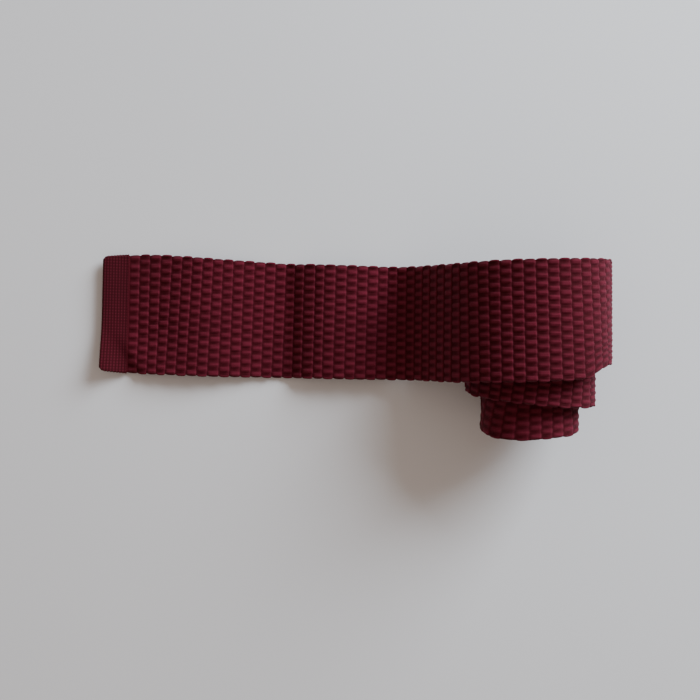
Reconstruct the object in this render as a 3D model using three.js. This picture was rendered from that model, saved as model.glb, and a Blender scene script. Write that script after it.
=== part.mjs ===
// A square-ended knitted necktie, folded in half at the neck and rolled up from the fold.
// The wide blade runs out flat from the roll with the tail lying under it, and its end rests on the table.
// Millimetres, +Z up, +X along the blade towards the roll, +Y across the blade.
import * as THREE from "three";

// Driving dimensions.
const CLEARANCE = 0.3;
const WIDE_END_WIDTH = 65;
const TAIL_END_WIDTH = WIDE_END_WIDTH - 15;
const NECK_WIDTH = 34;
const NECK_JOIN_WIDTH = 41;
const BLADE_THICKNESS = 2.6;
const TAIL_THICKNESS = 2.4;
const NECK_THICKNESS = 2.2;
const FLAT_LENGTH = 146;
const ROLL_HEIGHT = 57;
const ROLL_DEPTH = 76.8;
const ROLL_GAP = 37.4;
const CORE_HALF_HEIGHT = 4.2;
const CORE_HALF_DEPTH = 6.5;
const OUTER_SWING = 2.2;
const FIRST_SHIFT = 9.4;
const MIDDLE_DRIFT = 8.8;
const SECOND_SHIFT = 20.9;
const INNER_RETURN = 3.4;
const HEM_LENGTH = 13;
const TAIL_HEM_LENGTH = 11;
const TAIL_OVERLAP = 36;
const TIP_LENGTH = 45;
const MID_LENGTH = 48;
const KEEPER_LENGTH = 11;
const KEEPER_THICKNESS = 1;

// Sizes that follow from the ones above.
const STACK = BLADE_THICKNESS + TAIL_THICKNESS + CLEARANCE;
const PITCH_Z = STACK + 2 * CLEARANCE;
const PITCH_X = PITCH_Z + 2.1;
const CORE_PITCH = 2 * NECK_THICKNESS + 2.4 * CLEARANCE;
const KEEPER_LIFT = KEEPER_THICKNESS + CLEARANCE;
const WIDE_END_X = 0;
const FOOT_X = WIDE_END_X + FLAT_LENGTH;
const TAIL_END_X = FOOT_X - TAIL_OVERLAP;
const STEP_START_X = TAIL_END_X - 13;
const TIP_PIVOT_X = WIDE_END_X + TIP_LENGTH;
const MID_PIVOT_X = TIP_PIVOT_X + MID_LENGTH;
const KEEPER_X = FOOT_X - KEEPER_LENGTH - 3;
const TAIL_PIVOT_X = KEEPER_X - 3;
const SEAM_DEPTH = 0.7;
const SEAM_WIDTH = 0.8;
const SEAM_HEIGHT = 0.4;

// The roll: both layers wind clockwise about one centre. Each turn is one pitch smaller, and the neck winds tighter.
const OUTER_OFFSET = CLEARANCE / 2 + BLADE_THICKNESS;
const TURN = 2 * Math.PI;
const ROLL_HALF_Z = (ROLL_HEIGHT - 2 * OUTER_OFFSET) / 2;
const ROLL_HALF_X = ROLL_DEPTH / 2 - OUTER_OFFSET;
const ROLL_CENTRE_X = FOOT_X + ROLL_GAP + ROLL_DEPTH / 2;
const ROLL_CENTRE_Z = ROLL_HEIGHT / 2 - PITCH_Z / 4;
const STATION_ANGLE = TURN / 20;
const LEAVE_ANGLE = -7 * STATION_ANGLE;
const CREST_ANGLE = -6 * STATION_ANGLE;
const OUTER_CUT = 10 * STATION_ANGLE;
const INNER_CUT = 30 * STATION_ANGLE;
const TIGHT_TURNS = 1.75;
const TIGHT_SHRINK_Z = ROLL_HALF_Z - PITCH_Z * TIGHT_TURNS - CORE_HALF_HEIGHT;
const TIGHT_SHRINK_X = ROLL_HALF_X - PITCH_X * TIGHT_TURNS - CORE_HALF_DEPTH;
const CORE_TURNS = Math.min(TIGHT_SHRINK_Z, TIGHT_SHRINK_X) / CORE_PITCH;
const FOLD_ANGLE = STATION_ANGLE * Math.floor((TIGHT_TURNS + CORE_TURNS) * TURN / STATION_ANGLE);

const lerp = THREE.MathUtils.lerp;
const smooth = (value) => THREE.MathUtils.smoothstep(value, 0, 1);

// Straight lines between [distance, value] pairs.
function taper(pairs, distance) {
  const next = pairs.findIndex((pair) => pair[0] > distance);
  if (next === 0) {
    return pairs[0][1];
  }
  if (next < 0) {
    return pairs[pairs.length - 1][1];
  }
  const [from, to] = [pairs[next - 1], pairs[next]];
  return lerp(from[1], to[1], (distance - from[0]) / (to[0] - from[0]));
}

// Widths by distance from each end, along the tie.
const bladeWidth = (distance) => taper([
  [0, WIDE_END_WIDTH],
  [110, WIDE_END_WIDTH - 4.5],
  [240, WIDE_END_WIDTH - 6.5],
  [400, WIDE_END_WIDTH - 11],
  [INNER_CUT_DISTANCE, NECK_JOIN_WIDTH],
], distance);
const tailWidth = (distance) => taper([
  [0, TAIL_END_WIDTH],
  [120, TAIL_END_WIDTH - 2],
  [290, TAIL_END_WIDTH - 5],
  [INNER_CUT_DISTANCE - TAIL_END_X, NECK_JOIN_WIDTH],
], distance);

// The middle surface between blade and tail has three stretches: the ground, the rise and the roll.
// Over the ground it steps up once over the tail's end and again over the keeper.
function groundAt(x) {
  const overTail = smooth((x - STEP_START_X) / (TAIL_END_X - 1 - STEP_START_X));
  const overKeeper = smooth((x - TAIL_END_X - 2) / 12);
  const z = -CLEARANCE / 2 + (TAIL_THICKNESS + CLEARANCE) * overTail + KEEPER_LIFT * overKeeper;
  return new THREE.Vector2(x, z);
}

function rollAt(angle) {
  const loose = Math.min(angle / TURN, TIGHT_TURNS);
  const tight = angle / TURN - loose;
  const halfX = ROLL_HALF_X - PITCH_X * loose - TIGHT_SHRINK_X * tight / CORE_TURNS;
  const halfZ = ROLL_HALF_Z - PITCH_Z * loose - TIGHT_SHRINK_Z * tight / CORE_TURNS;
  return new THREE.Vector2(ROLL_CENTRE_X + halfX * Math.cos(angle), ROLL_CENTRE_Z - halfZ * Math.sin(angle));
}

function directionOf(pointAt, parameter, step) {
  return pointAt(parameter + step).sub(pointAt(parameter - step)).normalize();
}

const riseStart = groundAt(FOOT_X);
const riseEnd = rollAt(LEAVE_ANGLE);
const leaving = directionOf(rollAt, LEAVE_ANGLE, 0.001);
const riseHandle = 0.46 * (riseEnd.x - riseStart.x);
const rise = new THREE.CubicBezierCurve(
  riseStart,
  riseStart.clone().add(new THREE.Vector2(riseHandle, 0)),
  riseEnd.clone().addScaledVector(leaving, -riseHandle * 1.05),
  riseEnd,
);

// How far the strip sits across the table: it runs nearly straight, then each turn of the roll slips towards -Y.
const groundShift = (distance) => taper([[0, 5.1], [30, 4.4], [60, 2.6], [100, 1], [150, -0.3], [200, -1], [250, 0]], distance);
function rollShift(angle) {
  const degrees = THREE.MathUtils.radToDeg(angle);
  const swing = smooth((degrees + 90) / 95) * (1 - smooth((degrees - 10) / 110));
  const first = smooth((degrees - 90) / 135);
  const drift = smooth((degrees - 180) / 150);
  const second = smooth((degrees - 395) / 225);
  const back = smooth((degrees - 655) / 90);
  const outwards = OUTER_SWING * swing + INNER_RETURN * back;
  return outwards - FIRST_SHIFT * first - MIDDLE_DRIFT * drift - SECOND_SHIFT * second;
}

// Stations of the middle surface from the wide end to the fold, each with its distance along it.
// Every layer bends at the same ones, so that layers stay parallel; the flat stretches need few.
function middleStations() {
  const stations = [];
  const add = (kind, parameter, point, direction, bends) => {
    const last = stations[stations.length - 1];
    const travelled = last ? last.distance + point.distanceTo(last.point) : 0;
    const shift = kind === "roll" ? rollShift(parameter) : groundShift(travelled);
    stations.push({ kind, parameter, point, direction, distance: travelled, shift, bends });
  };
  for (let x = WIDE_END_X; x < FOOT_X - 0.5; x += 1) {
    const stepping = x > STEP_START_X - 3 && x < TAIL_END_X + 16;
    add("ground", x, groundAt(x), directionOf(groundAt, x, 0.05), x % (stepping ? 3 : 12) === 0);
  }
  const riseSteps = 60;
  for (let i = 0; i < riseSteps; i += 1) {
    add("rise", i / riseSteps, rise.getPoint(i / riseSteps), rise.getTangent(i / riseSteps), i % 6 === 0);
  }
  for (let angle = LEAVE_ANGLE; angle < FOLD_ANGLE + 0.01; angle += STATION_ANGLE) {
    add("roll", angle, rollAt(angle), directionOf(rollAt, angle, 0.001), true);
  }
  return stations;
}
const middle = middleStations();
const distanceAt = (kind, parameter) => middle
  .find((station) => station.kind === kind && station.parameter > parameter - 0.001).distance;
const CREST_DISTANCE = distanceAt("roll", CREST_ANGLE);
const OUTER_CUT_DISTANCE = distanceAt("roll", OUTER_CUT);
const INNER_CUT_DISTANCE = distanceAt("roll", INNER_CUT);
const FOLD_DISTANCE = middle[middle.length - 1].distance;

// One station of a layer lying "offset" from the middle surface, at a distance along it.
function layerStation(distance, offset, widthAt) {
  const next = Math.max(1, middle.findIndex((station) => station.distance >= distance - 1e-6));
  const [from, to] = [middle[next - 1], middle[next]];
  const share = (distance - from.distance) / (to.distance - from.distance);
  const direction = from.direction.clone().lerp(to.direction, share).normalize();
  const normal = new THREE.Vector2(-direction.y, direction.x);
  const point = from.point.clone().lerp(to.point, share).addScaledVector(normal, offset);
  const lean = 3.6 * smooth(1 - distance / (TIP_LENGTH - 5));
  const shift = lerp(from.shift, to.shift, share);
  return { point, direction, normal, shift, width: widthAt(distance), lean, flatten: 1 };
}

function layer(start, end, offset, widthAt) {
  const between = middle
    .filter((station) => station.bends && station.distance > start + 0.4 && station.distance < end - 0.4)
    .map((station) => station.distance);
  return [start, ...between, end].map((distance) => layerStation(distance, offset, widthAt));
}

// A half-round end about a bend line, so that the next piece can turn there without touching.
function roundEnd(stations, thickness, atStart) {
  const end = atStart ? stations[0] : stations[stations.length - 1];
  const angles = [25, 50, 70, 82].map(THREE.MathUtils.degToRad);
  const added = angles.map((angle) => ({
    ...end,
    point: end.point.clone().addScaledVector(end.direction, (atStart ? -1 : 1) * Math.sin(angle) * thickness / 2),
    flatten: Math.cos(angle),
  }));
  return atStart ? [...added.reverse(), ...stations] : [...stations, ...added];
}

// The cross-section of a flat knitted tube: round long edges, and a groove for the seam along its back.
function tubeSection(width, thickness, backSide, tunnel) {
  const half = width / 2;
  const radius = thickness * 0.42;
  const low = -thickness / 2;
  const groove = SEAM_WIDTH / 2 + CLEARANCE;
  const shape = new THREE.Shape();
  shape.moveTo(-half + radius, low);
  if (backSide) {
    shape.lineTo(-groove, low);
    shape.lineTo(-groove, low + SEAM_DEPTH);
    shape.lineTo(groove, low + SEAM_DEPTH);
    shape.lineTo(groove, low);
  }
  shape.lineTo(half - radius, low);
  shape.absarc(half - radius, low + radius, radius, -Math.PI / 2, 0, false);
  shape.absarc(half - radius, -low - radius, radius, 0, Math.PI / 2, false);
  shape.absarc(-half + radius, -low - radius, radius, Math.PI / 2, Math.PI, false);
  shape.absarc(-half + radius, low + radius, radius, Math.PI, 1.5 * Math.PI, false);
  if (tunnel) {
    shape.holes.push(boxOutline(tunnel.width, tunnel.low, tunnel.high));
  }
  return shape;
}

function boxOutline(width, low, high) {
  const shape = new THREE.Shape();
  shape.moveTo(-width / 2, low);
  shape.lineTo(width / 2, low);
  shape.lineTo(width / 2, high);
  shape.lineTo(-width / 2, high);
  shape.closePath();
  return shape;
}

// Extrudes a section straight, one unit per station, and then lays it along the stations.
// The section's x runs across the tie and its y along the layer's outward normal.
function layAlong(stations, shape, fixedWidth = false, turnedOver = false, cornerSteps = 2) {
  const geometry = new THREE.ExtrudeGeometry(shape, {
    depth: stations.length - 1,
    steps: stations.length - 1,
    bevelEnabled: false,
    curveSegments: cornerSteps,
  });
  if (turnedOver) {
    geometry.rotateZ(Math.PI);
  }
  const nominal = 100;
  const position = geometry.getAttribute("position");
  for (let i = 0; i < position.count; i += 1) {
    const station = stations[Math.round(position.getZ(i))];
    const across = position.getX(i);
    const spread = fixedWidth || Math.abs(across) < nominal / 4 ? 0 : Math.sign(across) * (station.width - nominal) / 2;
    const reach = across + spread;
    const up = position.getY(i) * station.flatten;
    const along = station.lean * reach / station.width;
    const point = station.point.clone()
      .addScaledVector(station.normal, up)
      .addScaledVector(station.direction, along);
    position.setXYZ(i, point.x, station.shift + reach, point.y);
  }
  geometry.computeVertexNormals();
  return geometry;
}

// Yarns and threads.
const knit = new THREE.MeshStandardMaterial({ name: "knit", color: 0x5b1420, roughness: 0.92, metalness: 0 });
const jersey = new THREE.MeshStandardMaterial({ name: "jersey", color: 0x48101a, roughness: 0.95, metalness: 0 });
const thread = new THREE.MeshStandardMaterial({ name: "thread", color: 0x3a0c14, roughness: 0.7, metalness: 0 });
const tape = new THREE.MeshStandardMaterial({ name: "tape", color: 0x2b2626, roughness: 0.85, metalness: 0 });

function piece(name, geometry, material) {
  const mesh = new THREE.Mesh(geometry, material);
  mesh.name = name;
  return mesh;
}

const NOMINAL_WIDTH = 100;
const bladeOffset = CLEARANCE / 2 + BLADE_THICKNESS / 2;
const tailOffset = -CLEARANCE / 2 - TAIL_THICKNESS / 2;
const neckOffset = CLEARANCE / 2 + NECK_THICKNESS / 2;
const seamLift = CLEARANCE / 2 + 0.1 + SEAM_HEIGHT / 2;
const bladeSection = tubeSection(NOMINAL_WIDTH, BLADE_THICKNESS, true);
const tailSection = tubeSection(NOMINAL_WIDTH, TAIL_THICKNESS, true);
const seamSection = boxOutline(SEAM_WIDTH, -SEAM_HEIGHT / 2, SEAM_HEIGHT / 2);
const tailDistance = (distance) => distance - TAIL_END_X;
const tailWidthAlong = (distance) => tailWidth(tailDistance(distance));

const bladeLayer = (start, end) => layer(start, end, bladeOffset, bladeWidth);
const tailLayer = (start, end) => layer(start, end, tailOffset, tailWidthAlong);

function seam(name, start, end, side, widthAt) {
  return piece(name, layAlong(layer(start, end, side * seamLift, widthAt), seamSection, true), thread);
}

// The rope of linking stitches that joins two knitted pieces, right across the tie.
function linkingSeam(name, distance, offset, widthAt, thickness) {
  const stations = [0, 0.6].map((step) => layerStation(distance + step, offset, widthAt));
  const width = widthAt(distance) - 3;
  return piece(name, layAlong(stations, boxOutline(width, -thickness / 2, thickness / 2), true), thread);
}

const half = CLEARANCE / 2;
const knuckle = BLADE_THICKNESS / 2 + CLEARANCE;
const linkStart = HEM_LENGTH + CLEARANCE;
const linkEnd = linkStart + 0.6 + CLEARANCE;

// The wide end: its hem of fine jersey, linked to the first stretch of the blade.
function wideEnd() {
  const group = new THREE.Group();
  const hemWidth = (distance) => bladeWidth(distance) - 3.6 - 2 * (1 - smooth(distance / 2.5));
  const hemStations = [0, 1, 2.5, HEM_LENGTH].map((distance) => layerStation(distance, bladeOffset, hemWidth));
  hemStations[0].flatten = 0.8;
  group.add(piece("wide_end_hem", layAlong(hemStations, tubeSection(NOMINAL_WIDTH, BLADE_THICKNESS, false)), jersey));
  group.add(linkingSeam("wide_hem_linking_seam", linkStart, bladeOffset, bladeWidth, BLADE_THICKNESS - 1));
  const stretch = roundEnd(bladeLayer(linkEnd, TIP_PIVOT_X), BLADE_THICKNESS, false);
  group.add(piece("wide_blade_tip", layAlong(stretch, bladeSection), knit));
  group.add(seam("back_seam_tip", linkEnd, TIP_PIVOT_X - 2, 1, bladeWidth));
  return group;
}

// The middle of the flat blade, between the two bend lines.
function bladeMid() {
  const group = new THREE.Group();
  const stretch = roundEnd(bladeLayer(TIP_PIVOT_X + knuckle, MID_PIVOT_X), BLADE_THICKNESS, false);
  group.add(piece("wide_blade_mid", layAlong(stretch, bladeSection), knit));
  group.add(seam("back_seam_mid", TIP_PIVOT_X + knuckle + 2, MID_PIVOT_X - 2, 1, bladeWidth));
  return group;
}

// The keeper: a strap under the tail, turned up at both sides and tacked to the back of the blade.
function keeper() {
  const group = new THREE.Group();
  const station = layerStation(KEEPER_X + KEEPER_LENGTH / 2, 0, bladeWidth);
  const top = station.point.y + CLEARANCE / 2 - CLEARANCE;
  const inner = tailWidthAlong(KEEPER_X) / 2 + CLEARANCE + 0.2;
  const outer = inner + KEEPER_THICKNESS;
  const reach = station.width / 2 - 0.5;
  const outline = new THREE.Shape();
  outline.moveTo(-outer, 0);
  outline.lineTo(outer, 0);
  outline.lineTo(outer, top - KEEPER_THICKNESS);
  outline.lineTo(reach, top - KEEPER_THICKNESS);
  outline.lineTo(reach, top);
  outline.lineTo(inner, top);
  outline.lineTo(inner, KEEPER_THICKNESS);
  outline.lineTo(-inner, KEEPER_THICKNESS);
  outline.lineTo(-inner, top);
  outline.lineTo(-reach, top);
  outline.lineTo(-reach, top - KEEPER_THICKNESS);
  outline.lineTo(-outer, top - KEEPER_THICKNESS);
  outline.closePath();
  const strap = new THREE.ExtrudeGeometry(outline, { depth: KEEPER_LENGTH, steps: 1, bevelEnabled: false });
  strap.rotateX(Math.PI / 2);
  strap.rotateZ(Math.PI / 2);
  const loop = piece("keeper_loop", strap, tape);
  loop.position.set(KEEPER_X, station.shift, 0);
  group.add(loop);
  for (const [name, side] of [["keeper_tack_front", -1], ["keeper_tack_back", 1]]) {
    const tack = piece(name, new THREE.BoxGeometry(KEEPER_LENGTH - 3, 1.2, 0.7), thread);
    const middleOfTab = (outer + CLEARANCE + reach) / 2;
    tack.position.set(KEEPER_X + KEEPER_LENGTH / 2, station.shift + side * middleOfTab, top - KEEPER_THICKNESS - 0.65);
    group.add(tack);
  }
  return group;
}

// The doubled stretch that climbs from the table to the top of the roll.
function bladeRise() {
  const group = new THREE.Group();
  const blade = bladeLayer(MID_PIVOT_X + knuckle, CREST_DISTANCE - half);
  group.add(piece("wide_blade_rise", layAlong(blade, bladeSection), knit));
  const tail = tailLayer(TAIL_PIVOT_X + TAIL_THICKNESS / 2 + CLEARANCE, CREST_DISTANCE - half);
  group.add(piece("tail_rise", layAlong(tail, tailSection, false, true), knit));
  group.add(seam("back_seam_rise", MID_PIVOT_X + knuckle + 2, CREST_DISTANCE - half, 1, bladeWidth));
  group.add(seam("tail_seam_rise", TAIL_PIVOT_X + 4, CREST_DISTANCE - half, -1, tailWidthAlong));
  group.add(keeper());
  return group;
}

// The tail's end, which lies under the blade and droops from the keeper when the tie is picked up.
function tailEnd() {
  const group = new THREE.Group();
  const hemWidth = (distance) => tailWidthAlong(distance) - 2;
  const hemEnd = TAIL_END_X + TAIL_HEM_LENGTH;
  const hemStations = [0, 3, 6, 9, TAIL_HEM_LENGTH]
    .map((distance) => layerStation(TAIL_END_X + distance, tailOffset, hemWidth));
  group.add(piece("tail_end_hem", layAlong(hemStations, tubeSection(NOMINAL_WIDTH, TAIL_THICKNESS, false)), jersey));
  group.add(linkingSeam("tail_hem_linking_seam", hemEnd + CLEARANCE, tailOffset, tailWidthAlong, TAIL_THICKNESS - 1));
  const start = hemEnd + 2 * CLEARANCE + 0.6;
  const stretch = roundEnd(tailLayer(start, TAIL_PIVOT_X), TAIL_THICKNESS, false);
  group.add(piece("tail_end", layAlong(stretch, tailSection, false, true), knit));
  group.add(seam("tail_seam_end", start, TAIL_PIVOT_X - 2, -1, tailWidthAlong));
  return group;
}

// A turn of the roll with the blade outside and the tail inside it.
function doubledTurn(name, start, end) {
  const group = new THREE.Group();
  group.add(piece(`wide_blade_${name}`, layAlong(bladeLayer(start, end), bladeSection), knit));
  group.add(piece(`tail_${name}`, layAlong(tailLayer(start, end), tailSection, false, true), knit));
  group.add(seam(`back_seam_${name}`, start, end, 1, bladeWidth));
  group.add(seam(`tail_seam_${name}`, start, end, -1, tailWidthAlong));
  return group;
}

// The neck band goes in along the outer layer, round the fold and back along the inner layer.
function neckStations(start, offset) {
  const neckWidth = (distance) => lerp(NECK_JOIN_WIDTH, NECK_WIDTH, smooth((distance - start) / 60));
  const goingIn = layer(start, FOLD_DISTANCE, offset, neckWidth);
  const end = layerStation(FOLD_DISTANCE, 0, neckWidth);
  const round = [];
  for (let i = 1; i < 8; i += 1) {
    const angle = Math.PI * i / 8;
    const normal = end.normal.clone().multiplyScalar(Math.cos(angle)).addScaledVector(end.direction, Math.sin(angle));
    const direction = new THREE.Vector2(normal.y, -normal.x);
    round.push({ ...end, point: end.point.clone().addScaledVector(normal, offset), direction, normal });
  }
  const comingOut = layer(start, FOLD_DISTANCE, -offset, neckWidth)
    .reverse()
    .map((station) => ({
      ...station,
      direction: station.direction.clone().negate(),
      normal: station.normal.clone().negate(),
    }));
  return [...goingIn, ...round, ...comingOut];
}

// The core of the roll: the neck band with the stay tape inside it, and the seams that join it to blade and tail.
function neck() {
  const group = new THREE.Group();
  const link = INNER_CUT_DISTANCE + half;
  const start = link + 0.6 + CLEARANCE;
  const tunnel = { width: 14.8, low: -0.05, high: 0.7 };
  const section = tubeSection(NOMINAL_WIDTH, NECK_THICKNESS, true, tunnel);
  group.add(piece("neck_band", layAlong(neckStations(start, neckOffset), section, false, false, 1), knit));
  group.add(piece("neck_seam", layAlong(neckStations(start, seamLift), seamSection, true), thread));
  const stay = boxOutline(14.2, 0.13, 0.53);
  group.add(piece("neck_stay_tape", layAlong(neckStations(start, neckOffset), stay, true), tape));
  group.add(linkingSeam("blade_to_neck_seam", link, bladeOffset, bladeWidth, BLADE_THICKNESS - 1));
  group.add(linkingSeam("tail_to_neck_seam", link, tailOffset, tailWidthAlong, TAIL_THICKNESS - 1));
  return group;
}

const laid = new THREE.Group();
laid.add(wideEnd());
laid.add(bladeMid());
laid.add(bladeRise());
laid.add(tailEnd());
laid.add(doubledTurn("outer_turn", CREST_DISTANCE + half, OUTER_CUT_DISTANCE - half));
laid.add(doubledTurn("middle_turn", OUTER_CUT_DISTANCE + half, INNER_CUT_DISTANCE - half));
laid.add(neck());

// The part's origin is the middle of its footprint, on the table.
laid.updateMatrixWorld(true);
const footprint = new THREE.Box3().setFromObject(laid);
const centre = footprint.getCenter(new THREE.Vector3());
laid.position.set(-centre.x, -centre.y, -footprint.min.z);

const necktie = new THREE.Group();
necktie.name = "necktie";
necktie.add(laid);

export default necktie;
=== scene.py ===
import math

import bpy
import numpy as np
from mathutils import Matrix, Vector


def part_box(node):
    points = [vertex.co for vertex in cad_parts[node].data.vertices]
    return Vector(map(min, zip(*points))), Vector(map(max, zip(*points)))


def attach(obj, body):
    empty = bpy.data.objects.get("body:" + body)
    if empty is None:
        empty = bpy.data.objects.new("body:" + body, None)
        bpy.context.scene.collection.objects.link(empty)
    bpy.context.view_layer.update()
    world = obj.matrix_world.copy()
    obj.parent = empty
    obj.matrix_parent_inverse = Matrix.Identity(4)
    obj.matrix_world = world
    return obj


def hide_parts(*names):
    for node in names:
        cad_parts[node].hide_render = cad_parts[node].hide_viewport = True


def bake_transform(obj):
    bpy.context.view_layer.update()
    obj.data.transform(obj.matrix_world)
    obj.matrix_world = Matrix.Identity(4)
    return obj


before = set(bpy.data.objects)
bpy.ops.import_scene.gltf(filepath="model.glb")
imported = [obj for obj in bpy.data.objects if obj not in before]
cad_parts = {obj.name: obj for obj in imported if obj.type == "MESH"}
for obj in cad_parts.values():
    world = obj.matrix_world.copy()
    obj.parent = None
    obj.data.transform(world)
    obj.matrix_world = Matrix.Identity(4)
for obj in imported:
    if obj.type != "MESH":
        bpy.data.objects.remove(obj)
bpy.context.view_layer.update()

bl_info = {
    "name": "Rolled Knitted Necktie",
    "version": (1, 0, 0),
    "blender": (4, 5, 0),
    "location": "View3D > Sidebar > Necktie",
    "description": "Builds a square-ended knitted necktie, rolled up with its wide blade running out flat",
    "category": "Object",
}

MM = 0.001

# The tie's own sizes, in millimetres, as the frame was made.
CLEARANCE = 0.3
WIDE_END_WIDTH = 65.0
TAIL_END_WIDTH = 50.0
NECK_JOIN_WIDTH = 41.0
NECK_WIDTH = 34.0
BLADE_THICKNESS = 2.6
TAIL_THICKNESS = 2.4
NECK_THICKNESS = 2.2
FLAT_LENGTH = 146.0
ROLL_HEIGHT = 57.0
ROLL_DEPTH = 76.8
ROLL_GAP = 37.4
CORE_HALF_HEIGHT = 4.2
CORE_HALF_DEPTH = 6.5
OUTER_SWING = 2.2
FIRST_SHIFT = 9.4
MIDDLE_DRIFT = 8.8
SECOND_SHIFT = 20.9
INNER_RETURN = 3.4
HEM_LENGTH = 13.0
TAIL_HEM_LENGTH = 11.0
TAIL_END_X = FLAT_LENGTH - 36.0
STEP_START_X = TAIL_END_X - 13.0
KEEPER_LENGTH = 11.0
KEEPER_THICKNESS = 1.0
KEEPER_X = FLAT_LENGTH - KEEPER_LENGTH - 3.0
KEEPER_LIFT = KEEPER_THICKNESS + CLEARANCE
TAPE_WIDTH = 14.2
TAPE_THICKNESS = 0.4

# The roll's front edge is drawn in on its right side,
# and the wide end's front corner lifts off the table.
EDGE_PINCH = 5.0
CORNER_LIFT = 3.6
CORNER_SWELL = 2.0
CORNER_SIZE = 17.0

# The blade lies a little loose on the table, over the end of the tail,
# and over the top and the right shoulder of the roll.
END_LIFT = 2.3
HUMP_HEIGHT = 4.6
CREST_HEIGHT = 3.1
SHOULDER_HEIGHT = 1.5

# The roll's law: both layers wind clockwise about one centre, and the neck winds tighter.
PITCH_Z = BLADE_THICKNESS + TAIL_THICKNESS + 3 * CLEARANCE
PITCH_X = PITCH_Z + 2.1
CORE_PITCH = 2 * NECK_THICKNESS + 2.4 * CLEARANCE
OUTER_OFFSET = CLEARANCE / 2 + BLADE_THICKNESS
ROLL_HALF_Z = (ROLL_HEIGHT - 2 * OUTER_OFFSET) / 2
ROLL_HALF_X = ROLL_DEPTH / 2 - OUTER_OFFSET
ROLL_CENTRE_X = FLAT_LENGTH + ROLL_GAP + ROLL_DEPTH / 2
ROLL_CENTRE_Z = ROLL_HEIGHT / 2 - PITCH_Z / 4
TIGHT_TURNS = 1.75
TIGHT_SHRINK_Z = ROLL_HALF_Z - PITCH_Z * TIGHT_TURNS - CORE_HALF_HEIGHT
TIGHT_SHRINK_X = ROLL_HALF_X - PITCH_X * TIGHT_TURNS - CORE_HALF_DEPTH
CORE_TURNS = min(TIGHT_SHRINK_Z, TIGHT_SHRINK_X) / CORE_PITCH
LEAVE_ANGLE = -126.0
FOLD_ANGLE = 18.0 * math.floor((TIGHT_TURNS + CORE_TURNS) * 20)

# Blade and tail are linked to the neck band at this angle of the roll.
# Their widths stop narrowing just before it, at this distance along the path.
NECK_JOIN_ANGLE = 540.0
TAPER_END = 532.5

# Where the knit is cut into stretches: by place along x up to the rise, and by angle in the roll.
TIP_CUT_X = 69.0
RISE_CUT_X = 170.0
TURN_CUTS = (36, 300, 450)

# The frame's origin is the middle of the footprint; the path below starts at the wide end.
KEEPER_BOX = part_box("keeper_loop")
ORIGIN_X = KEEPER_X - KEEPER_BOX[0].x / MM
TABLE_SHIFT = (KEEPER_BOX[0].y + KEEPER_BOX[1].y) / 2 / MM


def smooth(value):
    value = np.clip(value, 0.0, 1.0)
    return value * value * (3 - 2 * value)


def blade_width(distance):
    return np.interp(
        distance,
        [0, 110, 240, 400, TAPER_END],
        [WIDE_END_WIDTH, WIDE_END_WIDTH - 4.5, WIDE_END_WIDTH - 6.5, WIDE_END_WIDTH - 11, NECK_JOIN_WIDTH],
    )


def hem_width(distance):
    return WIDE_END_WIDTH - 4.8 + 0.22 * distance


def knit_width(distance):
    """The blade's width, drawn in a little where it is linked to the narrower hem."""
    return blade_width(distance) - 1.2 * (1 - smooth((distance - HEM_LENGTH) / 14))


def tail_width(distance):
    return np.interp(
        distance - TAIL_END_X,
        [0, 120, 290, TAPER_END - TAIL_END_X],
        [TAIL_END_WIDTH, TAIL_END_WIDTH - 2, TAIL_END_WIDTH - 5, NECK_JOIN_WIDTH],
    )


def tail_hem_width(length):
    return tail_width(length + TAIL_END_X) - 2


def ground_height(x):
    over_tail = smooth((x - STEP_START_X) / (TAIL_END_X - 1 - STEP_START_X))
    over_keeper = smooth((x - TAIL_END_X - 2) / 12)
    return -CLEARANCE / 2 + (TAIL_THICKNESS + CLEARANCE) * over_tail + KEEPER_LIFT * over_keeper


def roll_point(degrees):
    turns = degrees / 360
    loose = np.minimum(turns, TIGHT_TURNS)
    tight = turns - loose
    half_x = ROLL_HALF_X - PITCH_X * loose - TIGHT_SHRINK_X * tight / CORE_TURNS
    half_z = ROLL_HALF_Z - PITCH_Z * loose - TIGHT_SHRINK_Z * tight / CORE_TURNS
    angle = np.radians(degrees)
    return np.stack([ROLL_CENTRE_X + half_x * np.cos(angle), ROLL_CENTRE_Z - half_z * np.sin(angle)], -1)


def roll_shift(degrees):
    swing = smooth((degrees + 90) / 95) * (1 - smooth((degrees - 10) / 110))
    first = smooth((degrees - 90) / 135)
    drift = smooth((degrees - 180) / 150)
    second = smooth((degrees - 395) / 225)
    back = smooth((degrees - 655) / 90)
    outwards = OUTER_SWING * swing + INNER_RETURN * back
    return outwards - FIRST_SHIFT * first - MIDDLE_DRIFT * drift - SECOND_SHIFT * second


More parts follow.
